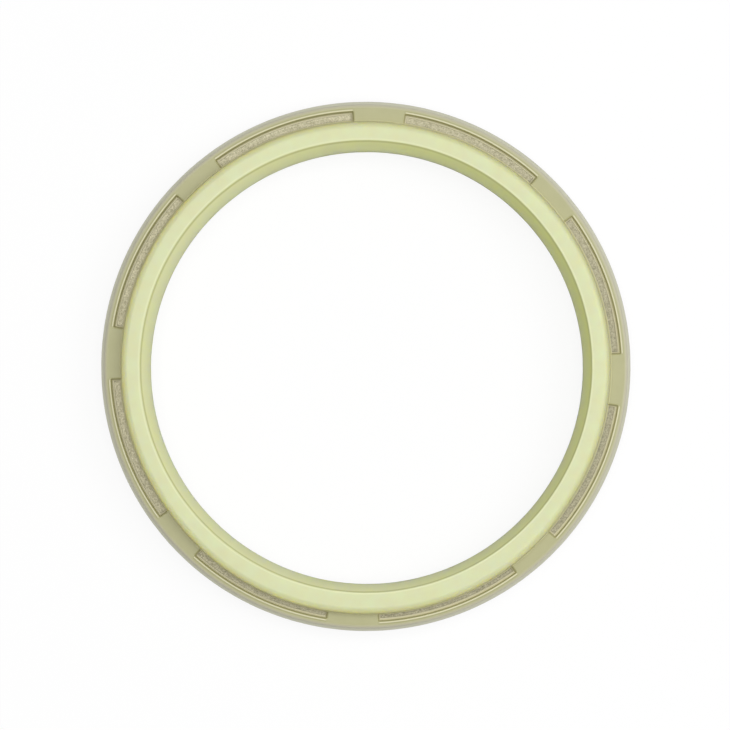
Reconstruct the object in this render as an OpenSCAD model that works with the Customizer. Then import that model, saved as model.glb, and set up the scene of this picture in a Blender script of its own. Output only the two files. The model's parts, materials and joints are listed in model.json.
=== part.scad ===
/* [Fit] */
// Diameter of the rod that both lips run on
rod_d = 70; // [40:1:160]
// Radial depth of the housing, from the rod to the wall of its counterbore
gland_depth = 7; // [6.5:0.1:9]
// Height of the cased body, from its base to the shoulder
body_h = 8; // [7:0.1:12]
// Height of the dust lip above the shoulder
lip_h = 3; // [2.4:0.1:4.5]
// How far each lip stands inside the rod's surface before the rod goes in
squeeze = 0.65; // [0.3:0.05:0.9]

/* [Steel case] */
// Thickness of the pressed sheet
sheet_t = 1.2; // [0.8:0.1:1.5]
// Inside radius of the bend between the wall and the flange
bend_r = 0.3; // [0.2:0.1:0.5]
// Height of the lead-in chamfer at the foot of the wall
lead_h = 1; // [0.5:0.1:2]
// Depth of the lead-in chamfer
lead_d = 0.3; // [0.1:0.05:0.6]
// How far the flange reaches in under the root of the dust lip
flange_tuck = 0.6; // [0.2:0.1:1.2]

/* [Shoulder] */
// Thickness of the polyurethane skin over the flange
skin_t = 0.6; // [0.4:0.05:1]
// Step from the steel's outer wall in to the skin
skin_set = 0.45; // [0.3:0.05:0.6]
// Rounding of the shoulder's outer edge
rim_round = 0.5; // [0.2:0.05:0.8]
// Width of the shoulder, from the steel's outer wall to the dust lip
shoulder_w = 3.15; // [2.6:0.05:3.6]

/* [Windows] */
// Number of windows in the skin, where the flange was held in the mould
window_count = 8; // [4:1:16]
// Arc of the land between two windows, in degrees
land_arc = 11.5; // [6:0.5:18]
// Turn of the first window's middle from the X axis, in degrees
window_turn = 19.5; // [0:0.5:45]
// Width of the rim that is left outside the windows
rim_w = 1.5; // [1.1:0.05:1.7]
// Lean of each window's outer wall
window_draft = 0.2; // [0.05:0.05:0.4]
// Width of the thin film that frames the bare steel along the rim
film_w = 0.35; // [0.2:0.05:0.7]
// Width of that film at both ends of the window
film_end_w = 0.4; // [0.3:0.05:0.9]
// Width of that film along the lip's root
film_root_w = 0.2; // [0.15:0.05:0.3]
// Thickness of that film
film_t = 0.12; // [0.06:0.01:0.3]

/* [Dust lip] */
// Lean of the lip's outer wall
lip_draft = 0.2; // [0:0.05:1]
// Fillet at the foot of the lip's outer wall
root_fillet = 0.15; // [0.1:0.05:0.3]
// Rounding of the lip's outer top edge
lip_round = 1; // [0.3:0.1:1]
// Width of the slanted front face, from the lip's top to the wiping edge
front_w = 1.5; // [0.8:0.05:2]
// Height of the slanted front face
front_h = 2; // [1.2:0.1:2.4]
// Rounding of the edge between the lip's top and its front face
edge_round = 0.12; // [0.05:0.01:0.3]
// Length of the straight land on each lip
lip_land = 0.4; // [0.2:0.05:0.8]
// Height of the undercut below the wiping edge
undercut_h = 1.7; // [1:0.1:2]

/* [Oil lip] */
// Gap between the rod and the recess between the two lips
recess = 0.8; // [0.4:0.05:1.2]
// Rounding at both ends of that recess
recess_round = 0.8; // [0.3:0.1:1]
// Height of the oil lip's land above the base
seal_z = 1.4; // [1.2:0.1:2]
// Height of the slope from the oil lip's land up to the recess
seal_slope_h = 1.6; // [1:0.1:2]
// Height of the oil lip's end above the base
lip_end_z = 0.5; // [0.2:0.1:0.8]
// Width of the oil lip's bevel, from its land to its end
lip_bevel = 0.75; // [0.3:0.05:1]
// Width of the oil lip's flat end
lip_end_w = 0.8; // [0.4:0.05:1.2]
// Rounding of the oil lip's end and of the groove's mouth
lip_end_round = 0.25; // [0.1:0.05:0.35]
// Width of the groove behind the oil lip, at its mouth
groove_w = 2.3; // [2:0.1:2.8]
// Depth of that groove above the base
groove_d = 2.6; // [1.5:0.1:4]
// Lean of the groove's wall on the oil lip's side
groove_lean_in = 0.75; // [0.3:0.05:0.9]
// Lean of the groove's wall on the heel's side
groove_lean_out = 0.55; // [0.2:0.05:0.7]
// Rounding at the bottom of the groove
groove_round = 0.45; // [0.1:0.05:0.5]

/* [Hidden] */
$fn = 180;

// Straight steps in each rounding of the moulded section
arc_steps = 6;

// Radii, from the rod outwards
rod_r = rod_d / 2;
lip_r = rod_r - squeeze;
recess_r = rod_r + recess;
front_r = lip_r + front_w;
lip_end_in_r = lip_r + lip_bevel;
lip_end_out_r = lip_end_in_r + lip_end_w;
heel_r = lip_end_out_r + groove_w;

// Radii, from the housing inwards
case_r = rod_r + gland_depth;
case_in_r = case_r - sheet_t;
mid_sheet_r = case_r - sheet_t / 2;
skin_r = case_r - skin_set;
root_r = case_r - shoulder_w;
lip_top_r = root_r - lip_draft;
flange_r = root_r - flange_tuck;
bend_out_r = bend_r + sheet_t;
bend_centre_r = case_r - bend_out_r;

// Heights above the base
top_z = body_h + lip_h;
flange_z = body_h - skin_t;
bend_centre_z = flange_z - bend_out_r;
mid_flange_z = flange_z - sheet_t / 2;
wipe_z = top_z - front_h;
undercut_z = wipe_z - lip_land - undercut_h;
slope_z = seal_z + lip_land + seal_slope_h;

// Windows
window_pitch = 360 / window_count;
window_arc = window_pitch - land_arc;
window_r = case_r - rim_w;
window_foot_r = window_r - window_draft;
bare_r = window_foot_r - film_w;
bare_in_r = root_r + film_root_w;
film_z = flange_z + film_t;
bare_arc = window_arc - 2 * film_end_w / bare_r * 180 / PI;
// The cut reaches above the shoulder far enough to take the fillet along with it
window_top_z = body_h + 2 * root_fillet;

// The moulded section as if the steel were filled in: radius, height and rounding of each corner
section = [
    [heel_r, 0, lip_end_round],
    [mid_sheet_r, 0, 0],
    [mid_sheet_r, bend_centre_z, 0],
    [skin_r, bend_centre_z, 0],
    [skin_r, body_h, rim_round],
    [root_r, body_h, root_fillet],
    [lip_top_r, top_z, lip_round],
    [front_r, top_z, edge_round],
    [lip_r, wipe_z, 0],
    [lip_r, wipe_z - lip_land, 0],
    [recess_r, undercut_z, recess_round],
    [recess_r, slope_z, recess_round],
    [lip_r, seal_z + lip_land, 0],
    [lip_r, seal_z, 0],
    [lip_end_in_r, lip_end_z, lip_end_round],
    [lip_end_out_r, lip_end_z, lip_end_round],
    [lip_end_out_r + groove_lean_in, groove_d, groove_round],
    [heel_r - groove_lean_out, groove_d, groove_round],
];

// Points that round corner b between its neighbours a and c, no further than half of either side
function rounded(a, b, c, r) =
    let (
        u = (a - b) / norm(a - b),
        v = (c - b) / norm(c - b),
        half = acos(u * v) / 2,
        reach = min(r / tan(half), norm(a - b) / 2, norm(c - b) / 2),
        fit_r = reach * tan(half),
        centre = b + (u + v) / norm(u + v) * fit_r / sin(half),
        turn = 180 - 2 * half,
        from = b + u * reach - centre,
        to = b + v * reach - centre
    )
    [for (k = [0 : arc_steps])
        let (t = k / arc_steps)
        centre + (sin((1 - t) * turn) * from + sin(t * turn) * to) / sin(turn)];

// Corner number i of a list, as a point; the list closes on itself
function corner(list, i) =
    let (p = list[(i + len(list)) % len(list)])
    [p[0], p[1]];

// All the points of a rounded outline
function outline(list) =
    [for (i = [0 : len(list) - 1])
        each list[i][2] == 0
            ? [corner(list, i)]
            : rounded(corner(list, i - 1), corner(list, i), corner(list, i + 1), list[i][2])];

// Section of the pressed ring: outer wall, bend and flange, with a lead-in at the wall's foot
module case_section() {
    difference() {
        union() {
            translate([case_in_r, 0])
                square([sheet_t, bend_centre_z]);
            translate([flange_r, flange_z - sheet_t])
                square([bend_centre_r - flange_r, sheet_t]);
            translate([bend_centre_r, bend_centre_z])
                intersection() {
                    difference() {
                        circle(bend_out_r);
                        circle(bend_r);
                    }
                    square(bend_out_r);
                }
        }
        polygon([[case_r - lead_d, 0], [case_r, 0], [case_r, lead_h]]);
    }
}

module case_ring() {
    rotate_extrude()
        case_section();
}

// One window: the pocket down to the film, and the bare patch down into the steel's thickness
module window_cut() {
    rotate(-window_arc / 2)
        rotate_extrude(angle = window_arc)
            polygon(outline([
                [root_r, film_z, root_fillet],
                [window_foot_r, film_z, 0],
                [window_r, body_h, 0],
                [window_r, window_top_z, 0],
                [root_r, window_top_z, 0],
            ]));
    rotate(-bare_arc / 2)
        rotate_extrude(angle = bare_arc)
            polygon([
                [bare_in_r, mid_flange_z],
                [bare_r, mid_flange_z],
                [bare_r, body_h],
                [bare_in_r, body_h],
            ]);
}

// Pressed steel ring that is driven into the housing
module steel_case() {
    color("#B4AF93")
        case_ring();
}

// Polyurethane moulded and bonded round the steel, with the dust lip above and the oil lip below
module wiper_body() {
    color("#DEE3B4")
        difference() {
            rotate_extrude()
                polygon(outline(section));
            case_ring();
            for (k = [0 : window_count - 1])
                rotate(window_turn + k * window_pitch)
                    window_cut();
        }
}

steel_case();
wiper_body();
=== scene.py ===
# %% [markdown]
# # A steel-cased rod wiper, lying with its air side up
# A rod wiper sits at the mouth of a hydraulic cylinder. Its dust lip scrapes dirt off the rod as
# the rod comes in, and a second lip underneath holds back the last film of oil. This one is pale
# polyurethane, moulded round a pressed steel ring and bonded to it. The script dresses the packed
# solids: it sweeps both sections round the axis again, finer than the solids have them, and gives
# each piece the finish of the real one.

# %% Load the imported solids
import json
import math

import bmesh
import bpy
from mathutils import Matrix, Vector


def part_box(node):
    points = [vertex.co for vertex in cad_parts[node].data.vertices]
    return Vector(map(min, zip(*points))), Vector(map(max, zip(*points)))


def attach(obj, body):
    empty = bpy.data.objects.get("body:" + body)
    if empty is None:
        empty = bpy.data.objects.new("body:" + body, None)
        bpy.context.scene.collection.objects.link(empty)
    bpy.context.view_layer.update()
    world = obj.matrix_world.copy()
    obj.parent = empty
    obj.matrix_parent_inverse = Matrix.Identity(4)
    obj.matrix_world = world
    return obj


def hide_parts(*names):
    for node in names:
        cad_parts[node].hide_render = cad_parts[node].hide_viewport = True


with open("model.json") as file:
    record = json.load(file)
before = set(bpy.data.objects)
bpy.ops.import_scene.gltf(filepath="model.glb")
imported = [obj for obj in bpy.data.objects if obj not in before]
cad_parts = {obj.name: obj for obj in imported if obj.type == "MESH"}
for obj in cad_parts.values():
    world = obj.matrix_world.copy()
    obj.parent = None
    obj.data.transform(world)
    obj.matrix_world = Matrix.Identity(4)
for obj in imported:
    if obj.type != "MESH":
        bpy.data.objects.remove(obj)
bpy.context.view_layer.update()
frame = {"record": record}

MM = 0.001
scene = bpy.context.scene


# %% [markdown]
# ## Sizes
# The sizes that the solids and their mounts already give are read from the frame, so the dressed
# ring can't drift away from the one that fits the rod. The rest are small mould and press details,
# in millimetres, named as a seal maker would name them.

# %% Sizes from the frame
mounts = {m["name"]: m for m in frame["record"]["mounts"]}
rod_bore = mounts["rod_bore"]
lip_r = rod_bore["dims"]["r_mm"]
case_r = mounts["case_outer_wall"]["dims"]["r_mm"]
bore_mid_z = rod_bore["pos_m"][2] / MM
wipe_z = bore_mid_z + rod_bore["dims"]["length_mm"] / 2
seal_z = bore_mid_z - rod_bore["dims"]["length_mm"] / 2
flange_z = round(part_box("steel_case")[1][2] / MM, 3)
top_z = round(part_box("wiper_body")[1][2] / MM, 3)
print("lip radius", lip_r, "case radius", case_r, "flange top", flange_z, "overall height", top_z)

# %% Sizes of the mould and the press tool, lengths in millimetres
# Pressed steel: sheet, bend, lead-in at the wall's foot, and the flange's reach under the lip
sheet_t = 1.2
bend_r = 0.3
lead_h = 1.0
lead_d = 0.3
lead_foot_round = 0.06
lead_top_round = 0.15
flange_tuck = 0.6

# Skin over the flange, and the shoulder that it makes
skin_t = 0.6
skin_set = 0.45
rim_round = 0.5
shoulder_w = 3.15

# Windows in the skin, the thin film that frames the bare steel, and the bead round each window
window_count = 8
land_arc = math.radians(11.5)
window_turn = math.radians(19.5)
rim_w = 1.5
window_draft = 0.2
end_draft = 0.25
film_w = 0.35
film_end_w = 0.4
film_root_w = 0.2
film_t = 0.12
film_edge = 0.25
film_end_edge = 0.12
bead_h = 0.05
bead_w = 0.32

# Dust lip, with the trimmed front face that leads to its wiping edge
lip_draft = 0.2
root_fillet = 0.15
lip_round = 1.0
front_w = 1.5
edge_round = 0.12
land_h = 0.4
land_edge = 0.05
undercut_h = 1.7

# Recess between the lips, oil lip, and the groove behind it
recess = 1.45
recess_round = 0.8
seal_slope_h = 1.6
lip_end_z = 0.5
lip_bevel = 0.75
lip_end_w = 0.8
lip_end_round = 0.25
groove_w = 2.3
groove_d = 2.6
groove_lean_in = 0.75
groove_lean_out = 0.55
groove_round = 0.45

# %% Radii, heights and angles that follow from them
body_h = flange_z + skin_t
skin_r = case_r - skin_set
root_r = case_r - shoulder_w
lip_top_r = root_r - lip_draft
window_r = case_r - rim_w
window_foot_r = window_r - window_draft
bead_mid_r = window_r + bead_w / 2
bare_r = window_foot_r - film_w
bare_in_r = root_r + film_root_w
front_r = lip_r + front_w
recess_r = lip_r + recess
lip_end_in_r = lip_r + lip_bevel
lip_end_out_r = lip_end_in_r + lip_end_w
heel_r = lip_end_out_r + groove_w
case_in_r = case_r - sheet_t
flange_r = root_r - flange_tuck
bend_out_r = bend_r + sheet_t
bend_mid_r = case_r - bend_out_r
bend_mid_z = flange_z - bend_out_r

window_pitch = 2 * math.pi / window_count
window_half = (window_pitch - land_arc) / 2
bare_half = window_half - film_end_w / bare_r
print("windows:", window_count, "each of", round(math.degrees(2 * window_half), 1), "degrees")

# %% [markdown]
# ## Helpers for node trees
# Every tree below, for shape or for finish, is built with one function that adds a node, sets it,
# gives it its inputs and hands back one of its outputs. A second function turns the sRGB colour
# that one would pick from a swatch into the linear value that the renderer works in. A third says
# which way a turn points.

# %% Node and colour helpers
MATH = "ShaderNodeMath"
VECTOR = "ShaderNodeVectorMath"
RANGE = "ShaderNodeMapRange"
NOISE = "ShaderNodeTexNoise"
MIX = "ShaderNodeMix"

# A Mix node keeps sockets for every kind of value: these are the places of those used here.
FACTOR = 0
NUMBER_A = 2
NUMBER_B = 3
COLOUR_A = 6
COLOUR_B = 7
MIXED = 2
COLOURS = {"data_type": "RGBA"}


def add(tree, kind, inputs=(), out=0, **settings):
    """Adds a node with its settings and its inputs, in order or by name, and returns one output."""
    node = tree.nodes.new(kind)
    for name, value in settings.items():
        setattr(node, name, value)
    given = inputs if isinstance(inputs, dict) else dict(enumerate(inputs))
    for key, value in given.items():
        if isinstance(value, bpy.types.NodeSocket):
            tree.links.new(value, node.inputs[key])
        else:
            node.inputs[key].default_value = value
    return node.outputs if out is None else node.outputs[out]


def linear(hex_colour):
    """Linear RGBA of an sRGB colour written as RRGGBB."""
    channels = [int(hex_colour[i : i + 2], 16) / 255 for i in (0, 2, 4)]
    return [c / 12.92 if c <= 0.04045 else ((c + 0.055) / 1.055) ** 2.4 for c in channels] + [1.0]


def heading(turn):
    """The level direction at that turn from the X axis."""
    return (math.cos(turn), math.sin(turn), 0.0)


# %% [markdown]
# ## The section, as a turner would draw it
# A ring is its section, swept round the axis. The section is drawn as corners with a rounding
# each, going once round the outline. Long straight stretches get a support point close to both
# ends, so that a flat face stays flat to the eye right up to its rounded edge.

# %% A rounded corner
# Steps in a turn of one radian at a rounding of 1 mm: a larger rounding gets more, by its root.
steps_per_radian = 7
fewest_steps = 4


def rounded(a, b, c, radius):
    """Points that round the corner b between its neighbours a and c."""
    u = [(p - q) / math.dist(a, b) for p, q in zip(a, b)]
    v = [(p - q) / math.dist(c, b) for p, q in zip(c, b)]
    half = math.acos(max(-1.0, min(1.0, u[0] * v[0] + u[1] * v[1]))) / 2
    reach = radius / math.tan(half)
    middle = math.hypot(u[0] + v[0], u[1] + v[1])
    centre = [b[i] + (u[i] + v[i]) / middle * radius / math.sin(half) for i in (0, 1)]
    start = [b[i] + u[i] * reach - centre[i] for i in (0, 1)]
    end = [b[i] + v[i] * reach - centre[i] for i in (0, 1)]
    turn = math.pi - 2 * half
    steps = max(fewest_steps, round(steps_per_radian * turn * math.sqrt(radius)))
    points = []
    for k in range(steps + 1):
        w0 = math.sin((1 - k / steps) * turn) / math.sin(turn)
        w1 = math.sin(k / steps * turn) / math.sin(turn)
        points.append(tuple(centre[i] + w0 * start[i] + w1 * end[i] for i in (0, 1)))
    return points


# %% A whole outline
def section_points(corners, near=0.05, longest=0.9):
    """A closed outline from corners (radius, height, rounding), with supports on long stretches."""
    too_short = 6 * near
    outline = []
    for i, (r, z, radius) in enumerate(corners):
        before = corners[i - 1][:2]
        after = corners[(i + 1) % len(corners)][:2]
        outline += rounded(before, (r, z), after, radius) if radius else [(r, z)]
    points = []
    for i, p in enumerate(outline):
        q = outline[(i + 1) % len(outline)]
        length = math.dist(p, q)
        points.append(p)
        if length > too_short:
            pieces = math.ceil((length - 2 * near) / longest)
            for k in range(pieces + 1):
                t = (near + (length - 2 * near) * k / pieces) / length
                points.append((p[0] + (q[0] - p[0]) * t, p[1] + (q[1] - p[1]) * t))
    return points


# %% Points that carry values
def eased(t):
    """0 below 0, 1 above 1, and an eased ramp between."""
    t = max(0.0, min(1.0, t))
    return t * t * (3 - 2 * t)


def pattern_points(name, points, attributes):
    """Loose points that carry the section's or the turn's values for the sweep to read."""
    mesh = bpy.data.meshes.new(name)
    mesh.from_pydata(points, [], [])
    for key, values in attributes.items():
        vector = isinstance(values[0], tuple)
        layer = mesh.attributes.new(key, "FLOAT_VECTOR" if vector else "FLOAT", "POINT")
        for item, value in zip(layer.data, values):
            setattr(item, "vector" if vector else "value", value)
    return bpy.data.objects.new(name, mesh)


# %% [markdown]
# ## Sweeping a section with windows pressed into it
# A lathe would do for a plain ring, but this one has eight windows that repeat round it. Geometry
# Nodes make both at once: a flat grid is rolled up so that its rows follow the section and its
# columns the turn. Each row and each column carries how much it takes part in the pocket, in the
# film, in the bead along the window's edge and in the bare patch, and their product presses the
# pattern in. Where row and column are both bare, the skin's two faces are taken out and their rims
# are welded, so the window goes right through to the steel. On the steel the same patch is pitted.

# %% Inputs of the sweep
ring_tree = bpy.data.node_groups.new("ring from a section", "GeometryNodeTree")
sweep_inputs = {
    "Section": "NodeSocketObject",
    "Columns": "NodeSocketObject",
    "Windows": "NodeSocketInt",
    "First window": "NodeSocketFloat",
    "Fuller side": "NodeSocketFloat",
    "Pocket depth": "NodeSocketFloat",
    "Film thickness": "NodeSocketFloat",
    "Bead height": "NodeSocketFloat",
    "Cut through": "NodeSocketFloat",
    "Pit depth": "NodeSocketFloat",
    "Pit size": "NodeSocketFloat",
    "Finish": "NodeSocketMaterial",
}
for name, kind in sweep_inputs.items():
    ring_tree.interface.new_socket(name, in_out="INPUT", socket_type=kind)
ring_tree.interface.new_socket("Ring", in_out="OUTPUT", socket_type="NodeSocketGeometry")
given = add(ring_tree, "NodeGroupInput", out=None)
print("the sweep takes:", ", ".join(sweep_inputs))

# %% A flat grid: a row for each point of the section, and one more that repeats the first
section = add(ring_tree, "GeometryNodeObjectInfo", {"Object": given["Section"]}, "Geometry")
columns = add(ring_tree, "GeometryNodeObjectInfo", {"Object": given["Columns"]}, "Geometry")
row_count = add(ring_tree, "GeometryNodeAttributeDomainSize", (section,), "Point Count")
col_count = add(ring_tree, "GeometryNodeAttributeDomainSize", (columns,), "Point Count")
rows = add(ring_tree, MATH, (row_count, 1.0), operation="ADD")
around = add(ring_tree, MATH, (col_count, given["Windows"], 1.0), operation="MULTIPLY_ADD")
grid = add(ring_tree, "GeometryNodeMeshGrid", {"Vertices X": around, "Vertices Y": rows})

# %% Which row, column and window a grid point belongs to
# Half a step keeps each division clear of the border between two whole numbers.
half_step = 0.5
index = add(ring_tree, "GeometryNodeInputIndex")
mid_index = add(ring_tree, MATH, (index, half_step), operation="ADD")
line = add(ring_tree, MATH, (mid_index, rows), operation="DIVIDE")
line = add(ring_tree, MATH, (line,), operation="FLOOR")
first = add(ring_tree, MATH, (line, rows), operation="MULTIPLY")
row = add(ring_tree, MATH, (index, first), operation="SUBTRACT")
row = add(ring_tree, MATH, (row, row_count), operation="MODULO")
col = add(ring_tree, MATH, (line, col_count), operation="MODULO")
mid_line = add(ring_tree, MATH, (line, half_step), operation="ADD")
window = add(ring_tree, MATH, (mid_line, col_count), operation="DIVIDE")
window = add(ring_tree, MATH, (window,), operation="FLOOR")

# %% What the section says at that row, and the columns at that column
kinds = {name: "FLOAT_VECTOR" for name in ("place", "press", "finish", "run out")}
kinds |= {name: "FLOAT" for name in ("bare", "swell")}
fields = {"place": add(ring_tree, "GeometryNodeInputPosition")}
for name in ("press", "finish", "run out", "bare", "swell"):
    fields[name] = add(ring_tree, "GeometryNodeInputNamedAttribute", (name,), data_type=kinds[name])
at_row = {}
for name, field in fields.items():
    wanted = {"Geometry": section, "Value": field, "Index": row}
    at_row[name] = add(ring_tree, "GeometryNodeSampleIndex", wanted, data_type=kinds[name])
at_col = {}
for name in ("place", "press", "bare"):
    wanted = {"Geometry": columns, "Value": fields[name], "Index": col}
    at_col[name] = add(ring_tree, "GeometryNodeSampleIndex", wanted, data_type=kinds[name])

# %% How deep the pattern presses the surface in, and where it is bare
both = add(ring_tree, VECTOR, (at_row["press"], at_col["press"]), operation="MULTIPLY")
raised = add(ring_tree, MATH, (given["Bead height"], -1.0), operation="MULTIPLY")
depths = (given["Pocket depth"], given["Film thickness"], raised)
depths = add(ring_tree, "ShaderNodeCombineXYZ", depths)
drop = add(ring_tree, VECTOR, (both, depths), "Value", operation="DOT_PRODUCT")
bare = add(ring_tree, MATH, (at_row["bare"], at_col["bare"]), operation="MULTIPLY")

# %% [markdown]
# ## A soft lip isn't quite true
# On this ring the bore sits a third of a millimetre off the axis of the case, and the dust lip is
# fuller at one side, so that its front face looks wider at one side than at the other. A designer's
# solid is true, so both are left to the dressing: each row also carries how far it goes off the axis
# with the bore, and how much it swells at the fuller side. The steel carries neither and stays true.

# %% Turn and radius of a grid point
# Two cosines: the swell is full within about 18 degrees of its middle, and gone at about 57.
swell_full = 0.95
swell_ends = 0.55
pitch = add(ring_tree, MATH, (2 * math.pi, given["Windows"]), operation="DIVIDE")
turn = add(ring_tree, MATH, (window, pitch, given["First window"]), operation="MULTIPLY_ADD")
offset = add(ring_tree, "ShaderNodeSeparateXYZ", (at_col["place"],), "X")
turn = add(ring_tree, MATH, (turn, offset), operation="ADD")
cosine = add(ring_tree, MATH, (turn,), operation="COSINE")
sine = add(ring_tree, MATH, (turn,), operation="SINE")
profile = add(ring_tree, "ShaderNodeSeparateXYZ", (at_row["place"],), None)
facing = add(ring_tree, MATH, (turn, given["Fuller side"]), operation="SUBTRACT")
facing = add(ring_tree, MATH, (facing,), operation="COSINE")
fuller = {"Value": facing, "From Min": swell_ends, "From Max": swell_full}
fuller = add(ring_tree, RANGE, fuller, interpolation_type="SMOOTHSTEP")
radius = add(ring_tree, MATH, (at_row["swell"], fuller, profile["X"]), operation="MULTIPLY_ADD")

# %% The rolled-up place, with blasted pits that only ever go down into the metal
x = add(ring_tree, MATH, (radius, cosine), operation="MULTIPLY")
y = add(ring_tree, MATH, (radius, sine), operation="MULTIPLY")
z = add(ring_tree, MATH, (profile["Z"], drop), operation="SUBTRACT")
rolled = add(ring_tree, "ShaderNodeCombineXYZ", (x, y, z))
rolled = add(ring_tree, VECTOR, (rolled, at_row["run out"]), operation="ADD")
scale = add(ring_tree, MATH, (1.0, given["Pit size"]), operation="DIVIDE")
grain = {"Vector": rolled, "Scale": scale, "Detail": 2.0, "Roughness": 0.6}
pits = add(ring_tree, NOISE, grain)
pit = add(ring_tree, MATH, (pits, bare), operation="MULTIPLY")
pit = add(ring_tree, MATH, (pit, given["Pit depth"]), operation="MULTIPLY")
pit = add(ring_tree, "ShaderNodeCombineXYZ", {"Z": pit})
rolled = add(ring_tree, VECTOR, (rolled, pit), operation="SUBTRACT")

# %% Values that the next cell and the finishes read, kept on the mesh
keep = "GeometryNodeStoreNamedAttribute"
cut = add(ring_tree, MATH, (bare, given["Cut through"]), operation="MULTIPLY")
shape = grid
for name, value in (("cut", cut), ("section radius", profile["X"])):
    shape = add(ring_tree, keep, {"Geometry": shape, "Name": name, "Value": value})
for name, value in (("finish", at_row["finish"]), ("press", both)):
    held = {"Geometry": shape, "Name": name, "Value": value}
    shape = add(ring_tree, keep, held, data_type="FLOAT_VECTOR")

# %% Roll up, open the windows, weld the seams and the windows' rims
fully_bare = 0.999
weld_gap = 0.001 * MM
shape = add(ring_tree, "GeometryNodeSetPosition", {"Geometry": shape, "Position": rolled})
marked = add(ring_tree, "GeometryNodeInputNamedAttribute", ("cut",), data_type="FLOAT")
through = add(ring_tree, MATH, (marked, fully_bare), operation="GREATER_THAN")
opened = {"Geometry": shape, "Selection": through}
shape = add(ring_tree, "GeometryNodeDeleteGeometry", opened, domain="FACE", mode="ALL")
shape = add(ring_tree, "GeometryNodeMergeByDistance", {"Geometry": shape, "Distance": weld_gap})
shape = add(ring_tree, "GeometryNodeSetShadeSmooth", {"Geometry": shape, "Shade Smooth": True})
shape = add(ring_tree, "GeometryNodeRealizeInstances", {"Geometry": shape})
shape = add(ring_tree, "GeometryNodeSetMaterial", {"Geometry": shape, "Material": given["Finish"]})
add(ring_tree, "NodeGroupOutput", (shape,), None)
print("sweep tree:", len(ring_tree.nodes), "nodes")

# %% [markdown]
# ## From the tree to a plain mesh
# The tree runs as a modifier on an empty mesh. What it makes is copied to a plain mesh, and the
# modifier goes. Rolling up can leave a shell inside out, so its volume is measured and its faces are
# turned if that comes out negative. No edge may be open: the ring has to be a closed solid.


# %% Run the sweep
def swept_mesh(name, section, columns, finish, sizes):
    """The mesh that the sweep tree makes of one section."""
    holder = bpy.data.objects.new(name + "_sweep", bpy.data.meshes.new(name + "_sweep"))
    helpers = (holder, section, columns)
    for helper in helpers:
        scene.collection.objects.link(helper)
    modifier = holder.modifiers.new("sweep", "NODES")
    modifier.node_group = ring_tree
    values = {"Section": section, "Columns": columns, "Windows": window_count}
    values |= {"First window": window_turn, "Fuller side": swell_turn, "Finish": finish} | sizes
    for item in ring_tree.interface.items_tree:
        if item.in_out == "INPUT":
            modifier[item.identifier] = values[item.name]
    bpy.context.view_layer.update()
    graph = bpy.context.evaluated_depsgraph_get()
    made = holder.evaluated_get(graph)
    mesh = bpy.data.meshes.new_from_object(made, preserve_all_data_layers=True, depsgraph=graph)
    mesh.name = name
    holder.modifiers.remove(modifier)
    for helper in helpers:
        bpy.data.objects.remove(helper)
    return mesh


def swept_ring(name, section, columns, finish, sizes):
    """One ring made by the sweep tree, as a plain mesh object at the origin."""
    mesh = swept_mesh(name, section, columns, finish, sizes)
    shape = bmesh.new()
    shape.from_mesh(mesh)
    if shape.calc_volume(signed=True) < 0:
        bmesh.ops.reverse_faces(shape, faces=shape.faces)
        shape.to_mesh(mesh)
    open_edges = sum(not edge.is_manifold for edge in shape.edges)
    triangles = sum(len(face.verts) - 2 for face in shape.faces)
    volume = round(shape.calc_volume() / MM**3, 1)
    shape.free()
    print(name, triangles, "triangles", open_edges, "open edges", volume, "mm3")
    piece = bpy.data.objects.new(name, mesh)
    scene.collection.objects.link(piece)
    return piece


# %% [markdown]
# ## Cast polyurethane
# The body is cast polyurethane, a tough rubbery plastic, here in its natural pale yellow-green. It
# is milky: light goes a millimetre or two into it and comes out yellower, so thin edges glow and
# shaded faces turn a warm olive. Subsurface scattering gives that. Over the steel the skin is only
# half a millimetre thick and the grey of the metal shows through. One colour for both would look
# painted, so a colour for the thick body and one for the skin are mixed by values that the sweep
# left on the mesh. Light and shade are painted into both colours too. The front face and the lip's
# flank are painted paler at one side, as if lit from there, and deeper across from it, as if in
# shade. The lip's top edge has a painted highlight and the face under it painted shade. On the skin,
# the rim, the windows' ends and the film's riser have painted light, and the film painted shade
# that is paler at one side.

# %% Polyurethane: where a point lies, and how near the side painted as lit
# Gives the eye a soft, milky, slightly waxy ring with a deeper tint in its thick edges.
level_only = (1.0, 1.0, 0.0)
# The front face and the flank are painted paler toward this turn, as if lit, and deeper across.
painted_light_turn = math.radians(200)
painted_light_full = 0.4
polyurethane = bpy.data.materials.new("cast_polyurethane_pale_green")
polyurethane.use_nodes = True
tree = polyurethane.node_tree
tree.nodes.clear()
place = add(tree, "ShaderNodeTexCoord", out="Object")
finish = add(tree, "ShaderNodeAttribute", out="Vector", attribute_name="finish")
finish = add(tree, "ShaderNodeSeparateXYZ", (finish,), None)
pattern = add(tree, "ShaderNodeAttribute", out="Vector", attribute_name="press")
pattern = add(tree, "ShaderNodeSeparateXYZ", (pattern,), None)
radius = add(tree, "ShaderNodeAttribute", out="Fac", attribute_name="section radius")
height = add(tree, "ShaderNodeSeparateXYZ", (place,), "Z")
flat = add(tree, VECTOR, (place, level_only), operation="MULTIPLY")
outward = add(tree, VECTOR, (flat,), operation="NORMALIZE")
painted_light_side = (outward, heading(painted_light_turn))
painted_light_side = add(tree, VECTOR, painted_light_side, "Value", operation="DOT_PRODUCT")
painted_light_side = add(tree, RANGE, {"Value": painted_light_side, "From Min": -1.0, "From Max": painted_light_full})
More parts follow.
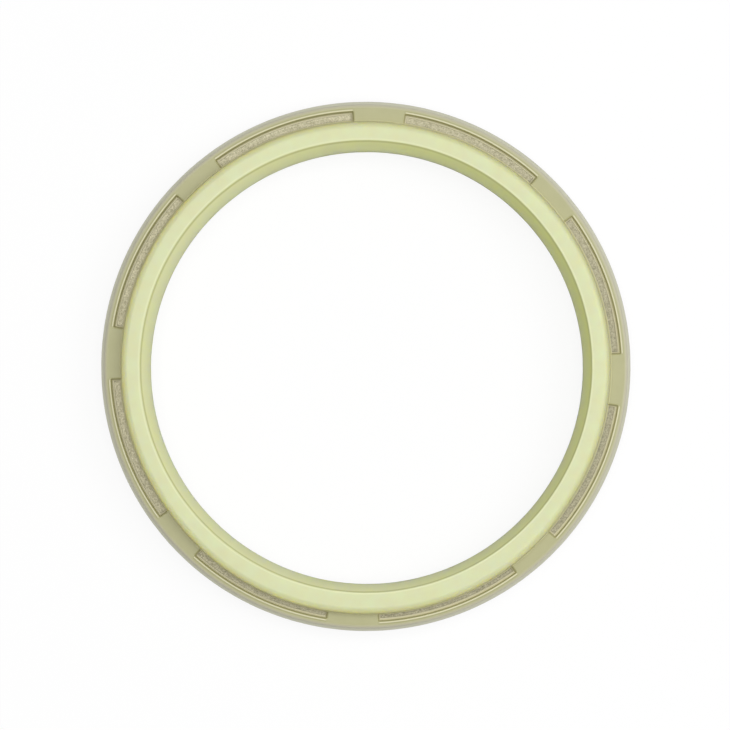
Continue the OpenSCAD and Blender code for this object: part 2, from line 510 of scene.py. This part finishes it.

# %% Polyurethane: the thick body
# Soft clouds of two tints, then the front face with painted light and shade, the painted highlight
# on the lip's top edge and the painted shade under it, and the flank with painted light and shade,
# which runs into the thin skin at the foot of the lip.
cloud_size = 2.5 * MM
crease_w = 0.25
skin_above_z = 5.5
cloud = add(tree, NOISE, {"Vector": place, "Scale": 1 / cloud_size, "Detail": 3.0})
tints = {FACTOR: cloud, COLOUR_A: linear("DCDAA8"), COLOUR_B: linear("DBE6BA")}
thick = add(tree, MIX, tints, MIXED, **COLOURS)
# The front face: its own deeper tint, with painted shade away from the side painted as lit.
tints = {FACTOR: painted_light_side, COLOUR_A: linear("DADF8E"), COLOUR_B: linear("EBEDBE")}
front_tint_and_painted_light = add(tree, MIX, tints, MIXED, **COLOURS)
# The flank: painted light on the side painted as lit, painted shade in deep olive across from it.
tints = {FACTOR: painted_light_side, COLOUR_A: linear("CCCB9B"), COLOUR_B: linear("EEEAA0")}
flank_painted_light_and_shade = add(tree, MIX, tints, MIXED, **COLOURS)
shade = add(tree, MATH, (finish["Y"], -1.0), operation="MULTIPLY")
flank = add(tree, MATH, (finish["Z"], -1.0), operation="MULTIPLY")
upper = add(tree, MATH, (height, skin_above_z * MM), operation="GREATER_THAN")
thin = {"From Min": (root_r - crease_w) * MM, "From Max": root_r * MM, "To Max": upper}
thin = add(tree, RANGE, {"Value": radius} | thin)
# E3E7B8 is a painted highlight on the lip's top edge, CACD8C painted shade just under it.
for share, tint in (
    (finish["Z"], front_tint_and_painted_light),
    (finish["Y"], linear("E3E7B8")),
    (shade, linear("CACD8C")),
    (flank, flank_painted_light_and_shade),
    (thin, linear("D9D6A6")),
):
    thick = add(tree, MIX, {FACTOR: share, COLOUR_A: thick, COLOUR_B: tint}, MIXED, **COLOURS)

# %% Polyurethane: masks on the skin over the steel
# The rim at its outer edge, the film at the foot of a window's wall and at its ends, and the riser
# from the film to the bare steel. The rim, the ends and the riser carry painted light, and the film
# painted shade for the wall's foot, painted paler at one side as if lit from there.
rim_fade_w = 0.7
rim_full_w = 0.05
riser_gain = 4.0
# The film is painted paler toward this turn, as if lit, and darker across from it.
film_painted_light_turn = math.radians(312)
# Painted light: the skin's rim, where it rounds over, is painted lighter than the rest of the skin.
rim_painted_light = {"From Min": (skin_r - rim_fade_w) * MM, "From Max": (skin_r - rim_full_w) * MM}
rim_painted_light = add(tree, RANGE, {"Value": radius} | rim_painted_light, interpolation_type="SMOOTHSTEP")
film = {"From Min": bare_r * MM, "From Max": (bare_r + film_edge) * MM}
film = add(tree, RANGE, {"Value": radius} | film, interpolation_type="SMOOTHSTEP")
# Painted light: the slopes at a window's ends are painted lighter, against the shade on them.
end_slope_painted_light = add(tree, MATH, (1.0, film), operation="SUBTRACT")
end_slope_painted_light = add(tree, MATH, (end_slope_painted_light, pattern["X"]), operation="MULTIPLY")
film = add(tree, MATH, (film, pattern["X"]), operation="MULTIPLY")
film_painted_light_side = (outward, heading(film_painted_light_turn))
film_painted_light_side = add(tree, VECTOR, film_painted_light_side, "Value", operation="DOT_PRODUCT")
film_painted_light_side = add(tree, RANGE, {"Value": film_painted_light_side, "From Min": -1.0})
# Painted highlight: the riser from the film to the bare steel is painted light.
riser_painted_highlight = add(tree, MATH, (1.0, pattern["Y"]), operation="SUBTRACT")
riser_painted_highlight = add(tree, MATH, (riser_painted_highlight, pattern["Y"]), operation="MULTIPLY")
riser_painted_highlight = add(tree, MATH, (riser_painted_highlight, riser_gain), operation="MULTIPLY", use_clamp=True)

# %% Polyurethane: colours of the skin
tints = {FACTOR: cloud, COLOUR_A: linear("A9A775"), COLOUR_B: linear("B2B080")}
skin = add(tree, MIX, tints, MIXED, **COLOURS)
# The film's own olive, darkened with painted shade, and painted paler toward one side.
tints = {FACTOR: film_painted_light_side, COLOUR_A: linear("98926A"), COLOUR_B: linear("C2BC94")}
film_tint_and_painted_shade = add(tree, MIX, tints, MIXED, **COLOURS)
# D0CCB4 is painted light on the rim, B8B28E on the ends, E6E1C6 a painted highlight on the riser.
for share, tint in (
    (rim_painted_light, linear("D0CCB4")),
    (end_slope_painted_light, linear("B8B28E")),
    (film, film_tint_and_painted_shade),
    (riser_painted_highlight, linear("E6E1C6")),
    (pattern["Z"], linear("DDD9B6")),
):
    skin = add(tree, MIX, {FACTOR: share, COLOUR_A: skin, COLOUR_B: tint}, MIXED, **COLOURS)
colour = {FACTOR: finish["X"], COLOUR_A: thick, COLOUR_B: skin}
colour = add(tree, MIX, colour, MIXED, **COLOURS)

# %% Polyurethane: grain, glow and shader
# The mould's fine grain is drawn at a third of a millimetre, coarser than real, so that it shows.
# Light goes deep into the body, and not into the skin over the steel, nor into the painted
# highlight on the lip's top edge and the painted shade under it.
peel_size = 0.35 * MM
peel_depth = 0.02 * MM
painted_edge_light_and_shade = add(tree, MATH, (finish["Y"],), operation="ABSOLUTE")
dense = add(tree, MATH, (thin, painted_edge_light_and_shade), operation="MAXIMUM")
glow = add(tree, MATH, (1.0, dense), operation="SUBTRACT")
peel = add(tree, NOISE, {"Vector": place, "Scale": 1 / peel_size, "Detail": 2.0})
bump = {"Strength": 0.25, "Distance": peel_depth, "Height": peel}
bump = add(tree, "ShaderNodeBump", bump)
shader = {
    "Base Color": colour,
    "Roughness": 0.4,
    "IOR": 1.5,
    "Normal": bump,
    "Subsurface Weight": glow,
    "Subsurface Radius": (2.6, 2.3, 0.7),
    "Subsurface Scale": MM,
}
surface = add(tree, "ShaderNodeBsdfPrincipled", shader, subsurface_method="RANDOM_WALK")
add(tree, "ShaderNodeOutputMaterial", {"Surface": surface}, None)
print("polyurethane:", len(tree.nodes), "nodes")

# %% [markdown]
# ## Pressed steel
# The ring inside is pressed from sheet. Before moulding, such a ring is blasted and sprayed with a
# bonding agent. That leaves the flange a dull, grainy beige where the windows show it, here painted
# lighter at one side and darker across from it, as painted light and shade. The outer wall, which
# seats in the housing, is taken as ironed bright by the press tool, with fine lines round it, and the
# bend above it as dull. Three materials would meet in hard lines, so one does all three, with masks
# from the height and from a value that the sweep left on the mesh.

# %% Steel: the coated flange
# Gives the eye a matt, sandy floor in each window. The grit is drawn coarser than real, to show.
grit_size = 0.22 * MM
grit_dark = 0.35
grit_light = 0.65
# Painted light and shade: the flange is made lighter toward one turn and darker across from it.
flange_painted_shade_level = 0.82
flange_painted_light_level = 1.18
flange_painted_light_turn = math.radians(151)
steel = bpy.data.materials.new("pressed_steel_blasted")
steel.use_nodes = True
tree = steel.node_tree
tree.nodes.clear()
place = add(tree, "ShaderNodeTexCoord", out="Object")
on_flange = add(tree, "ShaderNodeAttribute", out="Vector", attribute_name="finish")
on_flange = add(tree, "ShaderNodeSeparateXYZ", (on_flange,), "X")
grit = {"Vector": place, "Scale": 1 / grit_size, "Detail": 3.0, "Roughness": 0.7}
grit = add(tree, NOISE, grit)
grit = add(tree, RANGE, {"Value": grit, "From Min": grit_dark, "From Max": grit_light})
tints = {FACTOR: grit, COLOUR_A: linear("858168"), COLOUR_B: linear("BAB59C")}
coated = add(tree, MIX, tints, MIXED, **COLOURS)
flat = add(tree, VECTOR, (place, level_only), operation="MULTIPLY")
outward = add(tree, VECTOR, (flat,), operation="NORMALIZE")
# The flange's painted light: its tone rises toward one side of the ring and falls across from it.
flange_painted_light = add(tree, VECTOR, (outward, heading(flange_painted_light_turn)), "Value", operation="DOT_PRODUCT")
flange_painted_light = {"Value": flange_painted_light, "From Min": -1.0, "To Min": flange_painted_shade_level, "To Max": flange_painted_light_level}
flange_painted_light = add(tree, RANGE, flange_painted_light)
with_painted_light = {FACTOR: 1.0, COLOUR_A: coated, COLOUR_B: flange_painted_light}
coated = add(tree, MIX, with_painted_light, MIXED, blend_type="MULTIPLY", **COLOURS)

# %% Steel: the ironed wall and the dull bend
# Gives the eye a bright band with lines round it. They are drawn coarser than real, to show.
line_size = 0.12 * MM
line_length = 50.0 * MM
line_depth = 0.02 * MM
ironed_from_z = bend_mid_z + 0.7
ironed_full_z = bend_mid_z - 0.1
stretch = {"Vector": place, "Scale": (1 / line_length, 1 / line_length, 1 / line_size)}
stretch = add(tree, "ShaderNodeMapping", stretch)
lines = add(tree, NOISE, {"Vector": stretch, "Scale": 1.0, "Detail": 2.0})
height = add(tree, "ShaderNodeSeparateXYZ", (place,), "Z")
ironed = {"Value": height, "From Min": ironed_from_z * MM, "From Max": ironed_full_z * MM}
ironed = add(tree, RANGE, ironed, interpolation_type="SMOOTHSTEP")
tints = {FACTOR: lines, COLOUR_A: linear("CECDB2"), COLOUR_B: linear("E0DFC8")}
dull = add(tree, MIX, tints, MIXED, **COLOURS)
tints = {FACTOR: lines, COLOUR_A: linear("A9A79C"), COLOUR_B: linear("D2D0C6")}
bright = add(tree, MIX, tints, MIXED, **COLOURS)
wall = {FACTOR: ironed, COLOUR_A: dull, COLOUR_B: bright}
wall = add(tree, MIX, wall, MIXED, **COLOURS)

# %% Steel: shader
# Metal and roughness of the bend, the coated flange and the ironed wall
bend_metal = 0.25
flange_metal = 0.6
wall_metal = 0.9
bend_rough = 0.45
flange_rough = 0.6
wall_rough = 0.32
colour = {FACTOR: on_flange, COLOUR_A: wall, COLOUR_B: coated}
colour = add(tree, MIX, colour, MIXED, **COLOURS)
metallic = add(tree, RANGE, {"Value": on_flange, "To Min": bend_metal, "To Max": flange_metal})
metallic = add(tree, MIX, {FACTOR: ironed, NUMBER_A: metallic, NUMBER_B: wall_metal})
roughness = add(tree, RANGE, {"Value": on_flange, "To Min": bend_rough, "To Max": flange_rough})
roughness = add(tree, MIX, {FACTOR: ironed, NUMBER_A: roughness, NUMBER_B: wall_rough})
bump = {"Strength": 0.3, "Distance": line_depth, "Height": lines}
bump = add(tree, "ShaderNodeBump", bump)
shader = {"Base Color": colour, "Metallic": metallic, "Roughness": roughness, "Normal": bump}
surface = add(tree, "ShaderNodeBsdfPrincipled", shader)
add(tree, "ShaderNodeOutputMaterial", {"Surface": surface}, None)
print("steel:", len(tree.nodes), "nodes")

# %% [markdown]
# ## The moulded body
# The section goes once round: up the skin's outer edge, in across the shoulder, up and over the dust
# lip, down the front to its wiping edge, through the recess to the oil lip, round the groove behind it
# and back along the steel. The rows that cross a window are set close together where its wall, its
# film and its bare patch begin and end.

# %% Rows across the shoulder and along the bend
ease_rows = 4
wall_rows = 5
foot_step = 0.05
root_step = 0.02
bend_step_degrees = 4
bead_steps = range(ease_rows, -ease_rows - 1, -1)
shoulder_rows = [bead_mid_r + bead_w / 2 * k / ease_rows for k in bead_steps]
shoulder_rows += [window_r - window_draft * k / wall_rows for k in range(1, wall_rows + 1)]
shoulder_rows += [window_foot_r - foot_step]
shoulder_rows += [bare_r + film_edge * k / ease_rows for k in range(ease_rows, -1, -1)]
shoulder_rows += [bare_in_r, bare_in_r - root_step]
bend_turns = [math.radians(90 - turned) for turned in range(bend_step_degrees, 90, bend_step_degrees)]
bend_rows = [
    (bend_mid_r + bend_out_r * math.cos(a), bend_mid_z + bend_out_r * math.sin(a))
    for a in bend_turns
    if bend_mid_r + bend_out_r * math.cos(a) < skin_r - root_step
]
print("rows across the shoulder:", len(shoulder_rows), "and along the bend:", len(bend_rows))

# %% Corners of the moulded section
# The painted highlight on the lip's top edge is this wide and fades at its outer side. The steps are
# shares of the way down the front face, for the painted shade just under that edge.
highlight_w = 0.28
highlight_ease = 0.1
front_steps = (0.08, 0.16, 0.24)
skin_foot_z = bend_mid_z + math.sqrt(bend_out_r**2 - (skin_r - bend_mid_r) ** 2)
corners = [
    (skin_r, skin_foot_z, 0),
    (skin_r, body_h, rim_round),
    *[(r, body_h, 0) for r in shoulder_rows],
    (root_r, body_h, root_fillet),
    (lip_top_r, top_z, lip_round),
    (front_r + highlight_w, top_z, 0),
    (front_r + highlight_w - highlight_ease, top_z, 0),
    (front_r, top_z, edge_round),
    *[(front_r - front_w * t, top_z - (top_z - wipe_z) * t, 0) for t in front_steps],
    (lip_r, wipe_z, land_edge),
    (lip_r, wipe_z - land_h, land_edge),
    (recess_r, wipe_z - land_h - undercut_h, recess_round),
    (recess_r, seal_z + land_h + seal_slope_h, recess_round),
    (lip_r, seal_z + land_h, land_edge),
    (lip_r, seal_z, land_edge),
    (lip_end_in_r, lip_end_z, lip_end_round),
    (lip_end_out_r, lip_end_z, lip_end_round),
    (lip_end_out_r + groove_lean_in, groove_d, groove_round),
    (heel_r - groove_lean_out, groove_d, groove_round),
    (heel_r, 0, lip_end_round),
    (case_in_r, 0, 0),
    (case_in_r, flange_z - sheet_t, bend_r),
    (flange_r, flange_z - sheet_t, 0),
    (flange_r, flange_z, 0),
    (bare_in_r, flange_z, 0),
    (bare_r, flange_z, 0),
    (bend_mid_r, flange_z, 0),
    *[(r, z, 0) for r, z in bend_rows],
]
body_rows = section_points(corners)
print("moulded section:", len(body_rows), "points")

# %% What a row takes part in at a window
# The two hairs are margins for comparing heights and radii.
hair = 0.01
thin_hair = 0.001
fillet_reach = 0.03
fillet_top_z = body_h + 1.1 * root_fillet
bead_steepness = 1.6


def on_flange_top(z):
    """Whether a height is that of the flange's upper face."""
    return abs(z - flange_z) < hair


def window_share(r, z):
    """A row's share in a window's pocket, film and bead, and whether it belongs to the bare patch."""
    on_shoulder = body_h - hair < z < fillet_top_z and r > root_r - fillet_reach
    in_patch = bare_in_r - thin_hair < r < bare_r + thin_hair
    press = (0.0, 0.0, 0.0)
    if on_shoulder:
        pocket = eased((window_r - r) / window_draft)
        film = eased((bare_r + film_edge - r) / film_edge) if r > bare_in_r - thin_hair else 0.0
        bead = eased(bead_steepness * (1 - abs(r - bead_mid_r) / (bead_w / 2)))
        press = (pocket, film, bead)
    bare = (on_shoulder or on_flange_top(z)) and in_patch
    return press, float(bare)


# %% [markdown]
# ## Which finish and painted light a row shows
# A skin over steel looks different from the thick casting, and parts of the lip carry painted light
# and shade, though it is one casting. They could be painted by hand, but the section already says
# where each of them lies. So each row carries three values for the material. The first says how far
# it is skin over the steel. The second is positive on the painted highlight on the lip's top edge,
# and negative on the painted shade just under it. The third is positive on the front face, and
# negative on the lip's flank, whose tints hold painted light and shade.

# %% Shares of the finish and of the painted light
# Where each begins and how softly it ends, in millimetres. The trim's softness is a share of the way
# down the front face, and its fade is the share of its tint that is gone at the wiping edge.
skin_low_z = 5.0
skin_ease = 0.5
highlight_drop = 0.1
highlight_rise = 0.08
shade_drop = 0.06
shade_low = 0.48
shade_fade = 0.2
shade_reach = 0.1
trim_drop = 0.02
trim_rise = 0.06
trim_soft = 0.02
trim_fade = 0.6
flank_w = 0.9
flank_ease = 0.8


def finish_and_painted_light_share(r, z):
    """A row's shares: over steel, painted edge highlight or painted shade, front face or flank."""
    below = top_z - z
    depth = (front_r - r) / front_w
    over_steel = eased((r - root_r) / crease_w) * eased((z - skin_low_z) / skin_ease)
    edge = eased((highlight_drop - below) / highlight_rise) * eased((front_r + highlight_w - r) / highlight_ease)
    shade = eased((below - shade_drop) / shade_drop) * eased((shade_low - below) / shade_fade)
    if r >= front_r + shade_reach:
        shade = 0.0
    front = eased((below - trim_drop) / trim_rise) * eased((depth + trim_soft) / (2 * trim_soft))
    front *= 1.0 - trim_fade * depth
    if z <= wipe_z - hair:
        front = 0.0
    flank = eased((r - root_r + flank_w) / flank_ease) if z > body_h - hair else 0.0
    return over_steel, edge - shade, front - flank


# %% How this casting differs from a true ring, lengths in millimetres
run_out = 0.31
run_out_turn = math.radians(302)
run_out_fade = 1.0
lip_swell = 0.42
swell_turn = math.radians(272)
swell_start = 0.5
swell_rise = 1.2
swell_fade = 1.0


def run_out_of(r, z):
    """How far a row goes off the axis with the bore: all of it at the lips, none at the lip's top."""
    share = eased((recess_r + run_out_fade - r) / run_out_fade)
    if z > wipe_z:
        share = max(0.0, (front_r - r) / front_w)
    return tuple(run_out * MM * share * c for c in heading(run_out_turn))


def swell_of(r, z):
    """How much a row swells at the fuller side: the dust lip does, and the shoulder less and less."""
    share = eased((r - front_r - swell_start) / swell_rise)
    if r >= root_r:
        share = 1.0 - eased((r - root_r) / swell_fade)
    swells = z > body_h - hair or (on_flange_top(z) and r > root_r)
    return lip_swell * MM * share if swells else 0.0


# %% The body's section, with all that its rows carry
body_values = {
    "press": [window_share(r, z)[0] for r, z in body_rows],
    "bare": [window_share(r, z)[1] for r, z in body_rows],
    "finish": [finish_and_painted_light_share(r, z) for r, z in body_rows],
    "run out": [run_out_of(r, z) for r, z in body_rows],
    "swell": [swell_of(r, z) for r, z in body_rows],
}
body_places = [(r * MM, 0, z * MM) for r, z in body_rows]
section = pattern_points("body_section", body_places, body_values)
print("each row carries:", ", ".join(body_values))

# %% [markdown]
# ## Columns round one window
# The eight windows are read as the places where supports in the mould held the flange. They are
# equal, so the columns are laid out for one window and half of the land at both sides, and the sweep
# repeats them. They are close together where the window's end wall and its film slope, and wide apart
# where nothing changes.

# %% Columns for one window and its land
# One column stands at this share of the half land, and one this many millimetres outside the window.
land_step = 0.6
brow = 0.2
ease_columns = 4


def window_columns(name, inside):
    """Turns of the columns across one window and its land, with the window's ends close set."""
    end = end_draft / window_foot_r
    edge = film_end_edge / bare_r
    half = [window_pitch / 2, window_half + land_step * (window_pitch / 2 - window_half)]
    half += [window_half + brow / case_r]
    half += [window_half - end * k / ease_columns for k in range(ease_columns + 1)]
    half += [bare_half + edge * k / ease_columns for k in range(ease_columns, 0, -1)]
    middle = [bare_half * (1 - 2 * k / inside) for k in range(inside + 1)]
    turns = half + middle + [-t for t in reversed(half[1:])]
    turns.reverse()
    press = []
    bare = []
    for t in turns:
        pocket = eased((window_half - abs(t)) / end)
        film = eased((bare_half + edge - abs(t)) / edge)
        press.append((pocket, film, pocket))
        bare.append(1.0 if abs(t) < bare_half + edge / (2 * ease_columns) else 0.0)
    return pattern_points(name, [(t, 0, 0) for t in turns], {"press": press, "bare": bare})


columns = window_columns("body_columns", inside=28)
print("columns in one pitch:", len(columns.data.vertices))

# %% Sweep the body
body_sizes = {
    "Pocket depth": (skin_t - film_t) * MM,
    "Film thickness": film_t * MM,
    "Bead height": bead_h * MM,
    "Cut through": 1.0,
    "Pit depth": 0.0,
    "Pit size": MM,
}
wiper_body = swept_ring("wiper_body_moulded", section, columns, polyurethane, body_sizes)
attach(wiper_body, "root")
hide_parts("wiper_body")

# %% [markdown]
# ## The steel case
# The pressed ring is an L in section: a wall, a bend and a flange. The same sweep makes it. Its rows
# and columns are finer under the windows, because there the blasted flange shows its pits, which are
# drawn coarser than real. It carries only what it takes part in: a value that isn't there reads as 0.

# %% Rows of the steel section
pit_rows = 21
pit_row_start = 0.1
pit_row_step = 0.05
coat_edge = 0.6
coat_ease = 0.4
flange_rows = [bare_r + pit_row_start - pit_row_step * k for k in range(pit_rows)]
corners = [
    (case_in_r, 0, 0),
    (case_r - lead_d, 0, lead_foot_round),
    (case_r, lead_h, lead_top_round),
    (case_r, flange_z, bend_out_r),
    *[(r, flange_z, 0) for r in flange_rows],
    (flange_r, flange_z, 0),
    (flange_r, flange_z - sheet_t, 0),
    (case_in_r, flange_z - sheet_t, bend_r),
]
case_rows = section_points(corners)
case_values = {
    "bare": [window_share(r, z)[1] for r, z in case_rows],
    "finish": [(eased((case_r - coat_edge - r) / coat_ease), 0.0, 0.0) for r, z in case_rows],
}
section = pattern_points("case_section", [(r * MM, 0, z * MM) for r, z in case_rows], case_values)
print("steel section:", len(case_rows), "points")

# %% Sweep the steel case
columns = window_columns("case_columns", inside=110)
case_sizes = {
    "Pocket depth": 0.0,
    "Film thickness": 0.0,
    "Bead height": 0.0,
    "Cut through": 0.0,
    "Pit depth": 0.06 * MM,
    "Pit size": 0.3 * MM,
}
steel_case = swept_ring("steel_case_pressed", section, columns, steel, case_sizes)
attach(steel_case, "root")
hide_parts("steel_case")

# %% [markdown]
# ## Light and floor
# The ring lies on a white table under soft light. A large lamp overhead gives the most, a second one
# stands to the right, so that faces turned away from it lie in a gentle shade, and the rest comes from
# all round. Together they light a flat face at about the level where a colour renders as it is written.
# Paper as white as it looks would throw much of the light back at the ring, so the table is grey to the
# ring, and what the camera sees of it is mostly its own glow.


# %% Soft light
def seen_directly(tree):
    """1 where a ray comes from the camera or from a mirrored or clear surface, else 0."""
    path = add(tree, "ShaderNodeLightPath", out=None)
    mirrored = (path["Is Glossy Ray"], path["Is Transmission Ray"])
    mirrored = add(tree, MATH, mirrored, operation="MAXIMUM")
    return add(tree, MATH, (mirrored, path["Is Camera Ray"]), operation="MAXIMUM")


scene.view_settings.view_transform = "Standard"
dome_share = 0.3
world = bpy.data.worlds.new("soft_studio")
scene.world = world
world.use_nodes = True
tree = world.node_tree
tree.nodes.clear()
strength = {"Value": seen_directly(tree), "To Min": dome_share, "To Max": 1.0}
strength = add(tree, RANGE, strength)
sky = add(tree, "ShaderNodeBackground", {"Color": (1, 1, 1, 1), "Strength": strength})
add(tree, "ShaderNodeOutputWorld", {"Surface": sky}, None)


# %% Lamps
def soft_lamp(name, share, turn, height, distance, size):
    """A square lamp that gives a flat face that share of the full light level."""
    data = bpy.data.lights.new(name, "AREA")
    data.shape = "SQUARE"
    data.size = size
    data.energy = share / math.sin(height) * math.pi**2 * distance**2
    lamp = bpy.data.objects.new(name, data)
    level = distance * math.cos(height)
    lamp.location = (level * math.cos(turn), level * math.sin(turn), distance * math.sin(height))
    lamp.rotation_euler = (0, math.pi / 2 - height, turn)
    scene.collection.objects.link(lamp)
    print(name, round(data.energy, 2), "W")


overhead = {"turn": math.radians(90), "height": math.radians(87)}
from_the_right = {"turn": math.radians(10), "height": math.radians(56)}
soft_lamp("overhead_lamp", share=0.4, distance=1.0, size=0.5, **overhead)
soft_lamp("side_lamp", share=0.24, distance=0.9, size=0.5, **from_the_right)

# %% White table
# Gives the eye a clean white ground with a faint shadow round the ring.
paper_tint = 0.5
seen_tint = 0.15
seen_glow = 0.865
paper = bpy.data.materials.new("white_paper")
paper.use_nodes = True
tree = paper.node_tree
tree.nodes.clear()
seen = seen_directly(tree)
tint = add(tree, RANGE, {"Value": seen, "To Min": paper_tint, "To Max": seen_tint})
sheet = add(tree, "ShaderNodeBsdfDiffuse", {"Color": tint})
glow = add(tree, MATH, (seen, seen_glow), operation="MULTIPLY")
glow = add(tree, "ShaderNodeEmission", {"Strength": glow})
lit_paper = add(tree, "ShaderNodeAddShader", (sheet, glow))
add(tree, "ShaderNodeOutputMaterial", {"Surface": lit_paper}, None)

table_half = 2.0
table_z = -0.01 * MM
sides = ((-1, -1), (1, -1), (1, 1), (-1, 1))
table_corners = [(x * table_half, y * table_half, table_z) for x, y in sides]
table_mesh = bpy.data.meshes.new("table")
table_mesh.from_pydata(table_corners, [], [(0, 1, 2, 3)])
table_mesh.materials.append(paper)
table = bpy.data.objects.new("table", table_mesh)
scene.collection.objects.link(table)
print("table:", 2 * table_half, "m wide, its top at", round(table_z / MM, 3), "mm")

# %% [markdown]
# ## The camera
# The ring is seen straight down its axis, with hardly any perspective. A flat view without any would
# do, but a camera far away with a long lens comes closer to a real one. The ring's radius in the picture
# and the picture's width fix the lens, and the ring's middle fixes where the camera stands.

# %% Camera straight above
# Width, radius and middle in pixels of the picture, then the camera's height in millimetres
frame_px = 730
ring_px = 264.7
centre_px = (365.85, 366.4)
eye_z = 1500.0
sensor_w = 36.0
px = case_r / ring_px
aside = (frame_px / 2 - centre_px[0]) * px
along = (centre_px[1] - frame_px / 2) * px
camera_data = bpy.data.cameras.new("camera")
camera_data.sensor_width = sensor_w
camera_data.lens = sensor_w / 2 * (eye_z - bend_mid_z) / (frame_px / 2 * px)
camera = bpy.data.objects.new("camera", camera_data)
camera.location = (aside * MM, along * MM, eye_z * MM)
scene.collection.objects.link(camera)
scene.camera = camera
print("lens:", round(camera_data.lens, 1), "mm")
